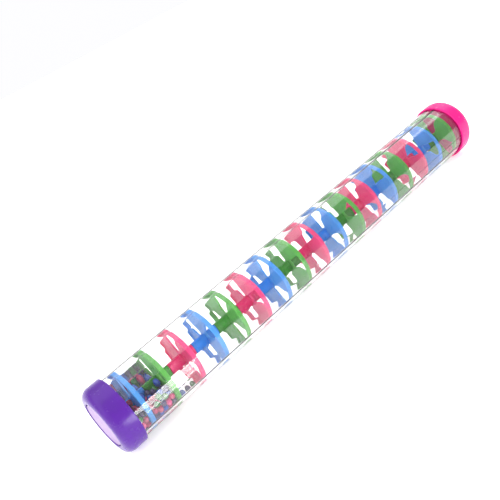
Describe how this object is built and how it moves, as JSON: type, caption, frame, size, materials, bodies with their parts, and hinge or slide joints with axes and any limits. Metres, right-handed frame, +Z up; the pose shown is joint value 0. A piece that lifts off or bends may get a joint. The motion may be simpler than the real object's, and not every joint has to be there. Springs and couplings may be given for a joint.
{
  "type": "rainstick",
  "caption": "Clear-tube rainstick with round end caps, a stack of coloured baffle wheels and loose beads that fall through them.",
  "frame": {"origin": "bottom centre of the stick as it lies, midway between the caps' end faces", "axes": "+X along the tube from the near (purple) cap to the far (pink) cap, +Z up, +Y across"},
  "size_m": [0.397, 0.05, 0.05],
  "materials": {
    "tube_clear": "polished clear",
    "cap_purple": "satin moulded",
    "cap_pink": "satin moulded",
    "disc_lavender": "smooth matt",
    "disc_pale_pink": "smooth matt",
    "wheel_blue": "translucent moulded",
    "wheel_green": "translucent moulded",
    "wheel_pink": "translucent moulded",
    "bead_mixed": "glossy",
    "bead_magenta": "glossy",
    "bead_blue": "glossy",
    "bead_violet": "glossy",
    "bead_green": "glossy"
  },
  "bodies": {
    "stick": {"clear_tube": "tube_clear", "near_cap": "cap_purple", "near_end_disc": "disc_lavender", "far_cap": "cap_pink", "far_end_disc": "disc_pale_pink", "baffle_wheel_01": "wheel_blue", "baffle_wheel_02": "wheel_green", "baffle_wheel_03": "wheel_pink", "baffle_wheel_04": "wheel_blue", "baffle_wheel_05": "wheel_green", "baffle_wheel_06": "wheel_pink", "baffle_wheel_07": "wheel_blue", "baffle_wheel_08": "wheel_green", "baffle_wheel_09": "wheel_pink", "baffle_wheel_10": "wheel_blue", "baffle_wheel_11": "wheel_green", "baffle_wheel_12": "wheel_pink", "baffle_wheel_13": "wheel_blue", "baffle_wheel_14": "wheel_green", "baffle_wheel_15": "wheel_pink", "baffle_wheel_16": "wheel_blue", "baffle_wheel_17": "wheel_green"},
    "near_heap": {"near_chamber_beads": "bead_mixed"},
    "second_heap": {"second_chamber_beads": "bead_mixed"},
    "bead_1": {"loose_bead_1": "bead_magenta"},
    "bead_2": {"loose_bead_2": "bead_blue"},
    "bead_3": {"loose_bead_3": "bead_violet"},
    "bead_4": {"loose_bead_4": "bead_green"}
  },
  "joints": [
    {"name": "near_heap_roll", "type": "hinge", "parent": "stick", "child": "near_heap", "pos_m": [-0.184, 0, 0.025], "axis": [1, 0, 0], "continuous": true},
    {"name": "second_heap_roll", "type": "hinge", "parent": "stick", "child": "second_heap", "pos_m": [-0.1635, 0, 0.025], "axis": [1, 0, 0], "continuous": true},
    {"name": "bead_1_roll", "type": "hinge", "parent": "stick", "child": "bead_1", "pos_m": [-0.14931, 0, 0.025], "axis": [1, 0, 0], "continuous": true},
    {"name": "bead_2_roll", "type": "hinge", "parent": "stick", "child": "bead_2", "pos_m": [-0.14424, 0, 0.025], "axis": [1, 0, 0], "continuous": true},
    {"name": "bead_3_roll", "type": "hinge", "parent": "stick", "child": "bead_3", "pos_m": [-0.13916, 0, 0.025], "axis": [1, 0, 0], "continuous": true},
    {"name": "bead_4_roll", "type": "hinge", "parent": "stick", "child": "bead_4", "pos_m": [-0.13409, 0, 0.025], "axis": [1, 0, 0], "continuous": true}
  ]
}
